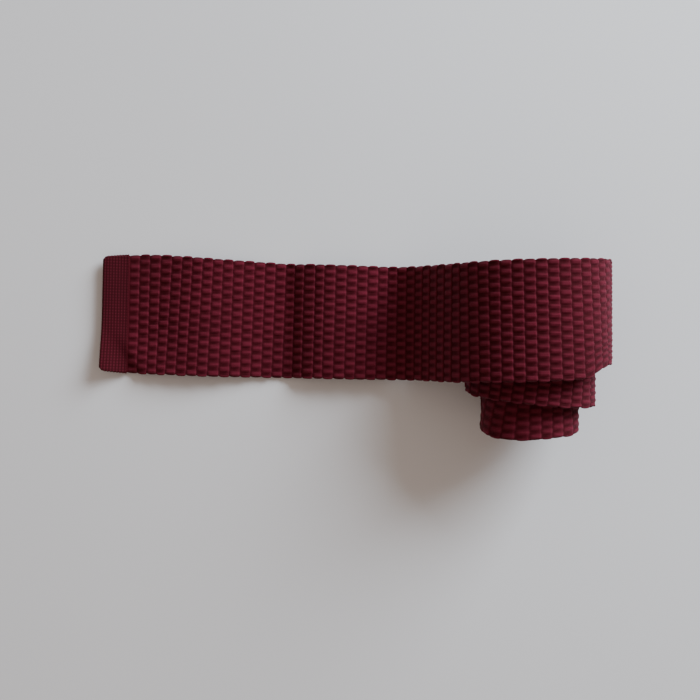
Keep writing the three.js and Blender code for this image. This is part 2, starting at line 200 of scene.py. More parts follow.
def middle_surface():
    """The surface between blade and tail: the ground, the rise and the roll, as one fine line."""
    x = np.arange(0.0, FLAT_LENGTH, 0.25)
    ground = np.stack([x, ground_height(x)], -1)
    start = np.array([FLAT_LENGTH, ground_height(FLAT_LENGTH)])
    end = roll_point(np.array(LEAVE_ANGLE))
    leaving = roll_point(np.array(LEAVE_ANGLE + 0.1)) - roll_point(np.array(LEAVE_ANGLE - 0.1))
    leaving /= np.linalg.norm(leaving)
    handle = 0.46 * (end[0] - start[0])
    knots = [start, start + [handle, 0], end - leaving * handle * 1.05, end]
    t = np.arange(0, 1, 1 / 300)[:, None]
    shares = [(1 - t) ** 3, 3 * t * (1 - t) ** 2, 3 * t * t * (1 - t), t ** 3]
    rise = sum(share * knot for share, knot in zip(shares, knots))
    degrees = np.arange(LEAVE_ANGLE, FOLD_ANGLE + 0.01, 0.5)
    points = np.concatenate([ground, rise, roll_point(degrees)])
    winding = np.concatenate([np.full(len(ground) + len(rise), LEAVE_ANGLE - 1), degrees])
    step = np.gradient(points, axis=0)
    direction = step / np.linalg.norm(step, axis=1, keepdims=True)
    distance = np.concatenate([[0], np.cumsum(np.linalg.norm(np.diff(points, axis=0), axis=1))])
    across = np.interp(distance, [0, 30, 60, 100, 150, 200, 250], [5.1, 4.4, 2.6, 1, -0.3, -1, 0])
    kernel = np.exp(-np.linspace(-2.5, 2.5, 81) ** 2)
    padded = np.pad(across, 40, mode="reflect", reflect_type="odd")
    across = np.convolve(padded, kernel / kernel.sum(), mode="valid")
    return points, direction, distance, across + roll_shift(winding), winding


MIDDLE = middle_surface()


def distance_at(x=None, degrees=None):
    points, _, distance, _, winding = MIDDLE
    if degrees is not None:
        return float(distance[np.argmax(winding >= degrees)])
    return float(distance[np.argmax(points[:, 0] >= x)])


def no_loft(distance):
    return 0.0 * distance


class Strip:
    """A layer of cloth lying at an offset from the middle surface, with its own length along it."""

    def __init__(self, points, direction, distance, across, loft=no_loft):
        self.loft = loft
        self.points, self.direction, self.distance, self.across = points, direction, distance, across
        self.normal = np.stack([-direction[:, 1], direction[:, 0]], -1)
        steps = np.linalg.norm(np.diff(points, axis=0), axis=1)
        self.length = np.concatenate([[0], np.cumsum(steps)])
        self.slope = np.gradient(across, self.length)

    def at_distance(self, distance):
        return float(np.interp(distance, self.distance, self.length))

    def value(self, name, length):
        return np.interp(length, self.length, getattr(self, name))

    def place(self, length, reach, lift):
        """Points, in metres, for places on the strip: along it, across it and off its surface."""
        distance = self.value("distance", length)
        drawn_in = EDGE_PINCH * smooth((distance - PINCH_START) / 17)
        drawn_in = drawn_in * (1 - smooth((distance - PINCH_END) / 30))
        reach = reach + drawn_in * smooth((-reach - 6) / 22)
        lift = lift + self.loft(distance)
        past_fold = distance + 0.55 * (reach + WIDE_END_WIDTH / 2) - CORNER_SIZE
        corner = smooth(-past_fold / CORNER_SIZE)
        swell = smooth(past_fold / 7) * (1 - smooth((past_fold - 9) / 26))
        swell = swell * (1 - smooth((reach + 28) / 22))
        lift = lift + CORNER_LIFT * corner + CORNER_SWELL * swell
        along = length - self.value("slope", length) * reach
        inside = np.clip(along, 0, self.length[-1])
        spare = along - inside
        place = []
        for axis in (0, 1):
            point = np.interp(inside, self.length, self.points[:, axis])
            normal = np.interp(inside, self.length, self.normal[:, axis])
            forward = np.interp(inside, self.length, self.direction[:, axis])
            place.append(point + normal * lift + forward * spare)
        x = place[0] - ORIGIN_X
        y = self.value("across", length) + reach + TABLE_SHIFT - STRIP_AT_KEEPER
        return np.stack([x, y, place[1]], -1) * MM


def blade_loft(distance):
    """How far the blade stands off its bed at its end, in a low hump, over the tail's end and on the roll."""
    end = 1 - smooth(distance / 15)
    hump = smooth((distance - 14) / 38) * (1 - smooth((distance - 50) / 46))
    early_climb = smooth((distance - 95) / 20) - smooth((distance - 112) / 12)
    crest = smooth((distance - 100) / 21) * (1 - smooth((distance - 124) / 42))
    past_top = distance - ROLL_TOP
    shoulder = smooth((past_top + 16) / 34) * (1 - smooth((past_top - 18) / 25))
    on_table = END_LIFT * end + HUMP_HEIGHT * hump + KEEPER_LIFT * early_climb + CREST_HEIGHT * crest
    return on_table + SHOULDER_HEIGHT * shoulder


def make_strip(offset, start=0.0, loft=no_loft):
    points, direction, distance, across, _ = MIDDLE
    keep = distance >= start
    normal = np.stack([-direction[:, 1], direction[:, 0]], -1)
    return Strip((points + normal * offset)[keep], direction[keep], distance[keep], across[keep], loft)


def make_neck_strip(start):
    """In along the outer layer, round the fold and back along the inner layer."""
    points, direction, distance, across, _ = MIDDLE
    keep = distance >= start
    points, direction, distance, across = points[keep], direction[keep], distance[keep], across[keep]
    normal = np.stack([-direction[:, 1], direction[:, 0]], -1)
    offset = CLEARANCE / 2 + NECK_THICKNESS / 2
    turn = np.radians(np.arange(6, 180, 6))[:, None]
    fold_length = 4
    round_normal = normal[-1] * np.cos(turn) + direction[-1] * np.sin(turn)
    round_direction = np.stack([round_normal[:, 1], -round_normal[:, 0]], -1)
    fold = points[-1] + round_normal * offset
    fold_distance = np.linspace(distance[-1], distance[-1] + fold_length, len(turn))
    distance_back = 2 * distance[-1] + fold_length - distance[::-1]
    return Strip(
        np.concatenate([points + normal * offset, fold, (points - normal * offset)[::-1]]),
        np.concatenate([direction, round_direction, -direction[::-1]]),
        np.concatenate([distance, fold_distance, distance_back]),
        np.concatenate([across, np.full(len(turn), across[-1]), across[::-1]]),
    )


ROLL_TOP = distance_at(degrees=-90)
PINCH_START = distance_at(degrees=-66)
PINCH_END = distance_at(degrees=5)
STRIP_AT_KEEPER = float(np.interp(distance_at(x=KEEPER_X + KEEPER_LENGTH / 2), MIDDLE[2], MIDDLE[3]))
BLADE = make_strip(CLEARANCE / 2 + BLADE_THICKNESS / 2, 0.0, blade_loft)
TAIL = make_strip(-CLEARANCE / 2 - TAIL_THICKNESS / 2, TAIL_END_X)
NECK_START = distance_at(degrees=NECK_JOIN_ANGLE)
NECK = make_neck_strip(NECK_START)
NECK_LENGTH = float(NECK.length[-1])
JOIN_OF_BLADE = BLADE.at_distance(NECK_START) - CLEARANCE
JOIN_OF_TAIL = TAIL.at_distance(NECK_START) - CLEARANCE


def neck_width(distance):
    end = float(NECK.distance[-1])
    inwards = np.minimum(distance - NECK_START, end - distance)
    return NECK_JOIN_WIDTH + (NECK_WIDTH - NECK_JOIN_WIDTH) * smooth(inwards / 60)


# ---------------------------------------------------------------- mesh making


def new_piece(name, points, faces, material, slot, corners=None, heights=None):
    """A mesh object from arrays. Faces have four corners, or three and a -1,
    and corners are their yarn coordinates."""
    mesh = bpy.data.meshes.new(name)
    points = np.asarray(points, np.float32).reshape(-1, 3)
    faces = np.asarray(faces, np.int32).reshape(-1, 4)
    sides = np.where(faces[:, 3] < 0, 3, 4)
    used = np.arange(4)[None, :] < sides[:, None]
    quads = points[faces[sides == 4]] - points.mean(axis=0)
    outwards = np.cross(quads[:, 1] - quads[:, 3], quads[:, 2] - quads[:, 0])
    if (quads[:, 0] * outwards).sum() < 0:
        turned = np.where(sides[:, None] == 4, [3, 2, 1, 0], [2, 1, 0, 3])
        faces = np.take_along_axis(faces, turned, 1)
        corners = None if corners is None else np.take_along_axis(corners, turned[..., None], 1)
    mesh.vertices.add(len(points))
    mesh.vertices.foreach_set("co", points.ravel())
    mesh.loops.add(int(sides.sum()))
    mesh.loops.foreach_set("vertex_index", faces[used])
    mesh.polygons.add(len(faces))
    mesh.polygons.foreach_set("loop_start", np.concatenate([[0], np.cumsum(sides)[:-1]]).astype(np.int32))
    mesh.polygons.foreach_set("loop_total", sides.astype(np.int32))
    mesh.polygons.foreach_set("use_smooth", np.ones(len(faces), bool))
    mesh.update(calc_edges=True)
    if corners is not None:
        layer = mesh.uv_layers.new(name="Yarn")
        layer.data.foreach_set("uv", np.asarray(corners, np.float32)[used].ravel())
    if heights is not None:
        attribute = mesh.attributes.new("relief", "FLOAT", "POINT")
        attribute.data.foreach_set("value", np.asarray(heights, np.float32).ravel())
    mesh.materials.append(material)
    mesh.validate()
    piece = bpy.data.objects.new(name, mesh)
    bpy.context.scene.collection.objects.link(piece)
    return piece


def ring_quads(rings, around, close_start=False, close_end=False):
    """Faces of a tube whose vertices lie ring by ring, and the matching (ring, step) of each corner."""
    ring, step = np.meshgrid(np.arange(rings - 1), np.arange(around), indexing="ij")
    ring, step = ring.ravel(), step.ravel()
    corner_ring = np.stack([ring, ring + 1, ring + 1, ring], -1)
    corner_step = np.stack([step, step, step + 1, step + 1], -1)
    for close, at, order in ((close_start, 0, 1), (close_end, rings - 1, -1)):
        if close:
            left = np.arange(1, around // 2)
            front, back = left, around - left
            quad = np.stack([front, front + 1, back - 1, back], -1)[:-1]
            quad = quad[:, ::order]
            corner_ring = np.concatenate([corner_ring, np.full_like(quad, at)])
            corner_step = np.concatenate([corner_step, quad])
    return corner_ring * around + corner_step % around, corner_ring, corner_step


def end_cap(turned):
    """Triangles that close a flattened tube's end, zipped between front and back, as steps of one ring."""
    front = np.flatnonzero(np.abs(turned) <= 0.5)
    back = np.flatnonzero(np.abs(turned) >= 0.5)
    back_place = -2 * np.sign(turned[back]) * (np.abs(turned[back]) - 1)
    back = back[np.argsort(back_place)]
    back_place = np.sort(back_place)
    front_place = 2 * turned[front]
    triangles = []
    i = j = 0
    while i < len(front) - 1 or j < len(back) - 1:
        take_front = j == len(back) - 1 or (i < len(front) - 1 and front_place[i + 1] <= back_place[j + 1])
        if take_front:
            triangle = (front[i], front[i + 1], back[j])
            i += 1
        else:
            triangle = (back[j + 1], back[j], front[i])
            j += 1
        if len(set(triangle)) == 3:
            triangles.append(triangle)
    return np.array(triangles)


def tube_faces(rings, turned, close_start, close_end):
    """Faces of a tube with its ends zipped shut where asked, and the (ring, step) of each corner."""
    faces, ring, step = ring_quads(rings, len(turned))
    fourth_corner = ((0, 0), (0, 1))
    for close, at, order in ((close_start, 0, 1), (close_end, rings - 1, -1)):
        if close:
            cap = end_cap(turned)[:, ::order]
            triangles = np.pad(at * len(turned) + cap, fourth_corner, constant_values=-1)
            faces = np.concatenate([faces, triangles])
            ring = np.concatenate([ring, np.full((len(cap), 4), at)])
            step = np.concatenate([step, np.pad(cap, fourth_corner)])
    return faces, ring, step


def tube_layout(rows, front_samples, back_samples):
    """Places round a flattened tube, in rows from the middle of its front.
    The middle of its back is at +-rows."""
    front = np.arange(0, rows / 2, 1 / front_samples)
    back = np.arange(rows / 2, rows, 1 / back_samples)
    half = np.concatenate([front, back])
    return np.concatenate([-np.append(half, rows)[::-1], half[1:]])


def skin(width, thickness, turned):
    """Places round a flattened tube: turned runs from 0, the middle of its front, to +-1,
    the middle of its back. Gives the way travelled round and the whole way to the back,
    then the reach and lift of the surface and the reach and lift of its normal."""
    radius = thickness / 2
    straight = width / 2 - radius
    quarter = straight + math.pi * radius / 2
    share = np.abs(turned) * 2
    back = share > 1
    arc = np.where(back, 2 - share, share) * quarter
    swing = np.clip((arc - straight) / radius, 0, math.pi / 2)
    side = np.sign(turned)
    normal_reach, normal_lift = np.sin(swing) * side, np.cos(swing) * np.where(back, -1.0, 1.0)
    travelled = np.where(back, 2 * quarter - arc, arc) * side
    reach = np.minimum(arc, straight) * side + radius * normal_reach
    return travelled, 2 * quarter, reach, radius * normal_lift, normal_reach, normal_lift


def thread_tube(points, radius, sides=6):
    """Vertices and quads of a thread along a line of points, with closed ends."""
    points = np.asarray(points, float)
    forward = np.gradient(points, axis=0)
    forward /= np.linalg.norm(forward, axis=1, keepdims=True)
    helper = np.tile([0.0, 0.0, 1.0], (len(points), 1))
    helper[np.abs(forward[:, 2]) > 0.9] = [1.0, 0.0, 0.0]
    side = np.cross(forward, helper)
    side /= np.linalg.norm(side, axis=1, keepdims=True)
    up = np.cross(side, forward)
    turn = np.arange(sides) * 2 * math.pi / sides
    girth = np.ones(len(points))
    girth[[0, -1]] = 0.35
    ring = side[:, None] * np.cos(turn)[None, :, None] + up[:, None] * np.sin(turn)[None, :, None]
    vertices = points[:, None] + ring * (radius * girth)[:, None, None]
    faces, _, _ = ring_quads(len(points), sides)
    caps = [[0, 1, 2, 3], [0, 3, 4, 5]]
    last = (len(points) - 1) * sides
    faces = np.concatenate([faces[:, ::-1], caps, [[last + c for c in cap[::-1]] for cap in caps]])
    return vertices.reshape(-1, 3), faces


def join_threads(threads):
    vertices, faces, count = [], [], 0
    for points, quads in threads:
        vertices.append(points)
        faces.append(quads + count)
        count += len(points)
    return np.concatenate(vertices), np.concatenate(faces)


# ---------------------------------------------------------------- the knit

UNEVEN_COLUMNS, UNEVEN_BARS = 211, 67
UNEVEN = np.random.default_rng(11).uniform(-1, 1, (UNEVEN_COLUMNS, UNEVEN_BARS))
JERSEY_ROW = 1.45
JERSEY_COLUMN = 1.5


def bump_stitch(column, row):
    """Relief, 0 to 1, of the staggered bump stitch: short fat bars in columns,
    each column half a bar off the last. Each column slopes up along the tie
    and drops sharply where the next one comes out from under it."""
    whole = np.floor(column)
    part = column - whole
    height = 0.38 * smooth((part - 0.5) / 0.42) * (1 - smooth((part - 0.955) / 0.045))
    for neighbour in (-1, 0, 1):
        index = (whole + neighbour).astype(int)
        along = part - neighbour
        phase = row + 0.5 * (index % 2)
        bar = np.floor(phase).astype(int)
        uneven = UNEVEN[index % UNEVEN_COLUMNS, bar % UNEVEN_BARS]
        other = UNEVEN[(index + 97) % UNEVEN_COLUMNS, (bar + 31) % UNEVEN_BARS]
        off_centre = np.abs(phase - bar - 0.5 + 0.035 * other)
        crown = np.sqrt(np.clip(1 - (off_centre / (0.3 + 0.025 * uneven)) ** 2, 0, 1))
        begin = smooth((along + 0.04) / 0.3)
        finish = 1 - smooth((along - 0.95) / 0.09)
        lie = 0.56 + 0.38 * np.clip(along, 0, 1) + 0.06 * uneven
        height = np.maximum(height, crown * begin * finish * lie)
    return np.clip(height, 0, 1)


def jersey_stitch(column, row):
    """Relief, 0 to 1, of fine jersey: small loops in a close square grid."""
    loop = np.cos(math.pi * column) ** 2
    return 0.25 * loop + 0.75 * loop * np.cos(math.pi * row) ** 2


def column_lengths(first, last, size, start, samples):
    """Lengths of the rings for whole columns of bumps, crowded where the bars begin and end."""
    shares = {
        8: [0.0, 0.05, 0.14, 0.28, 0.5, 0.72, 0.89, 0.96],
        6: [0.0, 0.1, 0.25, 0.5, 0.8, 0.94],
    }[samples]
    rings = [start + (column + share) * size for column in range(first, last) for share in shares]
    return np.array(rings + [start + last * size])


def knit_piece(name, spec, first, last, material, closed=(False, False)):
    """One stretch of a knitted strip, from one column to another."""
    strip, size = spec["strip"], spec["size"]
    lengths = column_lengths(first, last, size, spec["start"], spec["samples"])
    turned = (tube_layout(spec["rows"], spec["front"], spec["back"]) / spec["rows"])[None, :-1]
    width = spec["width"](strip.value("distance", lengths))[:, None]
    travelled, half_way, reach, lift, normal_reach, normal_lift = skin(width, spec["thickness"], turned)
    column = ((lengths - spec["start"]) / size)[:, None]
    row = travelled / (width / spec["rows"])
    by_back_seam = np.exp(-(((half_way - np.abs(travelled)) / 1.3) ** 2))
    height = bump_stitch(column, row) * (1 - 0.7 * by_back_seam)
    off_middle = 2 * (column - np.floor(column + 1e-6)) - 1
    scallop = normal_reach ** 2 * (1 - np.sqrt(1 - 0.96 * off_middle ** 2))
    sunk = spec["relief"] * (1 - height) * (1 - 0.25 * normal_reach ** 2) + 0.75 * scallop
    lift = spec["face"] * (lift - normal_lift * sunk)
    points = strip.place(lengths[:, None] + 0 * reach, reach - normal_reach * sunk, lift)
    around = turned.shape[1]
    faces, ring, step = tube_faces(len(lengths), turned[0], closed[0], closed[1])
    rows_round = 2 * (half_way / (width / spec["rows"]))[ring, 0]
    turn = np.where(step == around, row[ring, 0] + rows_round, row[ring, step % around])
    corners = np.stack([column[ring, 0], turn], -1)
    piece = new_piece(name, points, faces, material, "knit", corners, height)
    return piece, 2 * float(width.mean()) * MM, float(lengths[-1] - lengths[0]) * MM


def hem_piece(name, strip, length, thickness, width_of):
    """A hem of fine stocking stitch, closed and rounded at its free end."""
    lengths = np.concatenate([[0.02, 0.12, 0.3, 0.55, 0.85], np.arange(1.15, length, 0.28), [length]])
    width = (width_of(lengths) - 2 * (1 - smooth(lengths / 2.5)))[:, None]
    around = 2 * int(width.max() / 0.3)
    turned = (np.arange(around) / around * 2 - 1)[None, :]
    rounding = 1.2
    full = np.sqrt(np.clip(1 - (1 - lengths / rounding) ** 2, 0.02, 1))
    full = np.where(lengths < rounding, full, 1)[:, None]
    travelled, _, reach, lift, normal_reach, normal_lift = skin(width, thickness, turned)
    height = jersey_stitch(lengths[:, None] / JERSEY_ROW, travelled / JERSEY_COLUMN)
    sunk = 0.24 * (1 - height) + thickness / 2 * (1 - full)
    points = strip.place(lengths[:, None] + 0 * reach, reach - normal_reach * sunk, lift - normal_lift * sunk)
    faces, ring, step = tube_faces(len(lengths), turned[0], True, True)
    corners = np.stack([lengths[ring] / JERSEY_ROW, (step - around / 2) * 0.2], -1)
    piece = new_piece(name, points, faces, finish("Fine Jersey"), "jersey", corners, height)
    return piece


def linking_stitches(name, strip, start, thickness, width_of, node):
    """Two threads that chain round a tube where two knitted pieces are linked."""
    width = float(width_of(strip.value("distance", start)))
    step, stitch_length = 0.42, 2.3
    count = int(2 * width / step)
    share = np.arange(count + 1) / count
    groove = skin(np.array(width - 1.6), thickness - 0.6, share * 2 - 1)
    _, _, reach, lift, normal_reach, normal_lift = groove
    threads = []
    for phase in (0, math.pi):
        wave = share * 2 * math.pi * round(2 * width / stitch_length) + phase
        along = start + 0.25 * np.sin(wave)
        sunk = 0.42 + 0.16 * np.cos(wave)
        points = strip.place(along, reach - normal_reach * sunk, lift - normal_lift * sunk)
        threads.append(thread_tube(points, 0.34 * MM))
    piece = new_piece(name, *join_threads(threads), finish("Linking Thread"), "thread")
    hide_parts(node)
    return piece


def back_stitches(name, spec, first, last, node):
    """The whip stitches that close a tube along the middle of its back."""
    stitch_gap = 3
    count = int((last - first) / stitch_gap)
    middle = first + (np.arange(count) + 0.5) * (last - first) / count
    along = np.array([-1.35, -1.0, -0.55, 0.0, 0.55, 1.0, 1.35])
    across = np.array([-1.15, -1.1, -0.75, 0.0, 0.75, 1.1, 1.15])
    depth = np.array([0.95, 0.55, 0.36, 0.3, 0.36, 0.55, 0.95])
    threads = []
    for length in middle:
        points = spec["strip"].place(length + along, across, -spec["face"] * (spec["thickness"] / 2 - depth))
        threads.append(thread_tube(points, 0.24 * MM))
    piece = new_piece(name, *join_threads(threads), finish("Linking Thread"), "thread")
    if node:
        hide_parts(node)
    return piece


def band_piece(name, left, right, thickness, ribs, slot):
    """A woven band between two lines of points, with rounded edges and ribs along it."""
    side = right - left
    half = np.linalg.norm(side, axis=1) / 2
    side /= np.linalg.norm(side, axis=1, keepdims=True)
    centre = (left + right) / 2
    forward = np.gradient(centre, axis=0)
    up = np.cross(forward, side)
    up /= np.linalg.norm(up, axis=1, keepdims=True)
    share = np.linspace(-1, 1, 4 * ribs + 1)
    bulge = np.sqrt(np.clip(1 - share ** 8, 0, 1)) * (1 - 0.12 * (0.5 - 0.5 * np.cos(share * math.pi * ribs)))
    section = np.concatenate([np.stack([share, bulge], -1), np.stack([share[::-1], -bulge[::-1]], -1)[1:-1]])
    points = (
        centre[:, None]
        + side[:, None] * (section[:, 0] * half[:, None])[..., None]
        + up[:, None] * (section[:, 1] * thickness / 2)[None, :, None]
    )
    faces, _, _ = ring_quads(len(centre), len(section), True, True)
    return new_piece(name, points, faces, finish("Woven Tape"), slot)


def cut_columns(spec, distances):
    """The whole columns nearest to the given places along the strip."""
    return [int(round((spec["strip"].at_distance(d) - spec["start"]) / spec["size"])) for d in distances]


# Where the knitted stretches bend: a body before, a body after, and the two ends of the line between them.
LINES = {
    "tip": ("blade_tip", "blade_mid", (-0.0972, 0, 0), (-0.0712, 0, 0)),
    "mid": ("blade_mid", "blade_rise", (-0.0492, 0, 0), (-0.0232, 0, 0)),
    "lift": ("blade_rise", "outer_coil", (0.062, 0, 0), (0.0985, 0, 0)),
    "outer": ("outer_coil", "middle_coil", (0, 0, 0.015), (0, 0, 0.042)),
    "inner": ("middle_coil", "inner_coil", (0, 0, 0.0095), (0, 0, 0.0262)),
    "droop": ("tail_end", "blade_rise", (-0.0064, 0, 0), (0.0026, 0, 0)),
}


def follow(piece, line):
    """Leaves a piece that crosses one of the lines where it is, with its transform baked into its mesh, or
    rides it on one body.
    """
    if line in LINES:
        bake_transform(piece)
    else:
        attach(piece, line)


BLADE_STRETCHES = [
    ("knit_blade_tip", "tip", ("wide_blade_tip",), "back_seam_tip"),
    ("knit_blade_flat", "mid", ("wide_blade_mid",), "back_seam_mid"),
    ("knit_blade_rise", "lift", ("wide_blade_rise",), "back_seam_rise"),
    ("knit_blade_outer_turn", "outer", ("wide_blade_outer_turn",), "back_seam_outer_turn"),
    ("knit_blade_middle_turn", "middle_coil", ("wide_blade_middle_turn",), "back_seam_middle_turn"),
    ("knit_blade_last_turn", "inner", (), None),
]
TAIL_STRETCHES = [
    ("knit_tail_end", "droop", ("tail_end",), "tail_seam_end"),
    ("knit_tail_rise", "lift", ("tail_rise",), "tail_seam_rise"),
    ("knit_tail_outer_turn", "outer", ("tail_outer_turn",), "tail_seam_outer_turn"),
    ("knit_tail_middle_turn", "middle_coil", ("tail_middle_turn",), "tail_seam_middle_turn"),
    ("knit_tail_last_turn", "inner", (), None),
]


def strip_spec(strip, start, end, **facts):
    """How a strip is knitted. Its column length is trimmed so that whole columns fill it
    from seam to seam."""
    wanted = bpy.context.scene.necktie_knit.column_length / MM
    columns = round((end - start) / wanted)
    return {"strip": strip, "start": start, "columns": columns, "size": (end - start) / columns, **facts}


# The linking seams: piece, CAD node, body, strip, place along it, thickness and width.
LINKING_SEAMS = [
    (
        "links_wide_hem", "wide_hem_linking_seam", "blade_tip",
        BLADE, HEM_LENGTH + 0.3, BLADE_THICKNESS, knit_width,
    ),
    (
        "links_tail_hem", "tail_hem_linking_seam", "tail_end",
        TAIL, TAIL_HEM_LENGTH + 0.3, TAIL_THICKNESS, tail_width,
    ),
    (
        "links_blade_to_neck", "blade_to_neck_seam", "inner_coil",
        BLADE, JOIN_OF_BLADE, BLADE_THICKNESS, blade_width,
    ),
    (
        "links_tail_to_neck", "tail_to_neck_seam", "inner_coil",
        TAIL, JOIN_OF_TAIL, TAIL_THICKNESS, tail_width,
    ),
]


def blade_spec():
    knit = bpy.context.scene.necktie_knit
    return strip_spec(
        BLADE, HEM_LENGTH + 0.4, JOIN_OF_BLADE - 0.6, rows=knit.blade_rows, thickness=BLADE_THICKNESS,
        width=knit_width, relief=knit.relief / MM, face=1, samples=8, front=8, back=7,
    )


def tail_spec():
    knit = bpy.context.scene.necktie_knit
    return strip_spec(
        TAIL, TAIL_HEM_LENGTH + 0.4, JOIN_OF_TAIL - 0.6, rows=knit.tail_rows, thickness=TAIL_THICKNESS,
        width=tail_width, relief=0.92 * knit.relief / MM, face=-1, samples=6, front=6, back=6,
    )


def neck_spec():
    knit = bpy.context.scene.necktie_knit
    return strip_spec(
        NECK, 0.5, NECK_LENGTH - 0.5, rows=knit.neck_rows, thickness=NECK_THICKNESS,
        width=neck_width, relief=0.8 * knit.relief / MM, face=1, samples=6, front=6, back=6,
    )


def roll_cuts():
    return [distance_at(x=RISE_CUT_X), *(distance_at(degrees=angle) for angle in TURN_CUTS)]


def blade_cuts(spec):
    return [0, *cut_columns(spec, [distance_at(x=TIP_CUT_X), *roll_cuts()]), spec["columns"]]


def tail_cuts(spec):
    return [0, *cut_columns(spec, roll_cuts()), spec["columns"]]


def make_stretches(spec, cuts, stretches, material):
    for number, (name, line, nodes, _) in enumerate(stretches):
        closed = (number == 0, number == len(stretches) - 1)
        piece, width, length = knit_piece(name, spec, cuts[number], cuts[number + 1], material, closed)
        follow(piece, line)
        if nodes:
            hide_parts(*nodes)


# ---------------------------------------------------------------- finishes


class Nodes:
    """Shorthand for building a material's node tree."""

    def __init__(self, name):
        self.material = bpy.data.materials.new(name)
        self.material.use_nodes = True
        self.tree = self.material.node_tree
        self.tree.nodes.clear()
        self.output = self.tree.nodes.new("ShaderNodeOutputMaterial")
        self.shader = self.tree.nodes.new("ShaderNodeBsdfPrincipled")
        self.tree.links.new(self.shader.outputs["BSDF"], self.output.inputs["Surface"])

    def add(self, kind, **settings):
        node = self.tree.nodes.new(kind)
        for key, value in settings.items():
            setattr(node, key, value)
        return node

    def link(self, source, target):
        self.tree.links.new(source, target)

    def math(self, operation, first, second=None, third=None):
        node = self.add("ShaderNodeMath", operation=operation)
        for socket, value in zip(node.inputs, (first, second, third)):
            if value is None:
                continue
            if hasattr(value, "node"):
                self.link(value, socket)
            else:
                socket.default_value = value
        return node.outputs[0]

    def wave(self, turns):
        """From 0 to 1 and back once in every turn."""
        swing = self.math("SINE", self.math("MULTIPLY", turns, 2 * math.pi))
        return self.math("MULTIPLY_ADD", swing, 0.5, 0.5)

    def noise(self, place, scale, detail=2.0, roughness=0.5):
        node = self.add("ShaderNodeTexNoise", noise_dimensions="3D")
        node.inputs["Scale"].default_value = scale
        node.inputs["Detail"].default_value = detail
        node.inputs["Roughness"].default_value = roughness
        self.link(place, node.inputs["Vector"])
        return node.outputs["Fac"]

    def bump(self, height, strength, distance):
        """Fine relief on the shader's normal, with its depth in metres."""
        node = self.add("ShaderNodeBump")
        node.inputs["Strength"].default_value = strength
        node.inputs["Distance"].default_value = distance
        self.link(height, node.inputs["Height"])
        self.link(node.outputs["Normal"], self.shader.inputs["Normal"])

    def mix(self, factor, first, second, blend_type="MIX"):
        node = self.add("ShaderNodeMix", data_type="RGBA", blend_type=blend_type)
        for socket, value in ((node.inputs[0], factor), (node.inputs[6], first), (node.inputs[7], second)):
            if hasattr(value, "node"):
                self.link(value, socket)
            elif hasattr(value, "__len__"):
                socket.default_value = (*value[:3], 1)
            else:
                socket.default_value = value
        return node.outputs[2]


def scaled(colour, factor):
    return tuple(c * factor for c in colour[:3])


def yarn_finish(name, colour, strands_per_row, depth, sheen):
    """Spun yarn: twisted strands along the bars and fibre fuzz on them, with painted shade that darkens and
    reddens the gaps between the bumps and the grooves between the strands.
    """
    nodes = Nodes(name)
    uv = nodes.add("ShaderNodeUVMap", uv_map="Yarn")
    parts = nodes.add("ShaderNodeSeparateXYZ")
    nodes.link(uv.outputs["UV"], parts.inputs[0])
    relief = nodes.add("ShaderNodeAttribute", attribute_name="relief").outputs["Fac"]
    place = nodes.add("ShaderNodeTexCoord").outputs["Object"]

    fuzz = nodes.noise(place, 1400, detail=3)
    patch = nodes.noise(place, 22, detail=5, roughness=0.62)

    wander = nodes.math("MULTIPLY", fuzz, 0.35)
    strands = nodes.math("MULTIPLY_ADD", parts.outputs["Y"], strands_per_row, wander)
    strand = nodes.wave(strands)
    twist = nodes.wave(nodes.math("ADD", nodes.math("MULTIPLY", parts.outputs["X"], 6.0), strands))

    # Painted shade: where the relief is low, in the gaps between the bumps, the base colour is made far
    # darker and redder than on the tops.
    shaded_gap_colour = (colour[0], colour[1] * 0.25, colour[2] * 0.5)
    painted_gap_shade = nodes.mix(patch, scaled(shaded_gap_colour, 0.30), scaled(shaded_gap_colour, 0.42))
    top = nodes.mix(patch, scaled(colour, 0.84), scaled(colour, 1.44))
    body = nodes.mix(nodes.math("POWER", relief, 1.05), painted_gap_shade, top)
    # Painted shade: the strand wave also darkens the base colour in the grooves between the strands.
    shade = nodes.math("MULTIPLY_ADD", strand, 0.22, 0.84)
    speck = nodes.math("MULTIPLY_ADD", fuzz, 0.5, 0.75)
    tone = nodes.math("MULTIPLY", shade, speck)
    grey = nodes.add("ShaderNodeCombineColor")
    for channel in grey.inputs:
        nodes.link(tone, channel)
    nodes.link(nodes.mix(1.0, body, grey.outputs[0], "MULTIPLY"), nodes.shader.inputs["Base Color"])

    bumps = nodes.math("ADD", nodes.math("MULTIPLY", strand, 0.6), nodes.math("MULTIPLY", twist, 0.35))
    bumps = nodes.math("MULTIPLY_ADD", fuzz, 0.4, bumps)
    nodes.bump(bumps, 0.8, depth)
    nodes.shader.inputs["Roughness"].default_value = 0.85
    nodes.shader.inputs["Specular IOR Level"].default_value = 0.12
    nodes.shader.inputs["Sheen Weight"].default_value = sheen
    nodes.shader.inputs["Sheen Roughness"].default_value = 0.45
    nodes.shader.inputs["Sheen Tint"].default_value = (1.0, 0.40, 0.54, 1)
    return nodes.material


def thread_finish(name, colour, roughness):
    """Sewing thread or tape: an even colour broken by fine fibres."""
    nodes = Nodes(name)
    place = nodes.add("ShaderNodeTexCoord").outputs["Object"]
    fibre = nodes.noise(place, 2600)
    tone = nodes.mix(fibre, scaled(colour, 0.7), scaled(colour, 1.3))
    nodes.link(tone, nodes.shader.inputs["Base Color"])
    nodes.bump(fibre, 0.5, 0.00008)
    nodes.shader.inputs["Roughness"].default_value = roughness
    nodes.shader.inputs["Specular IOR Level"].default_value = 0.08
    return nodes.material


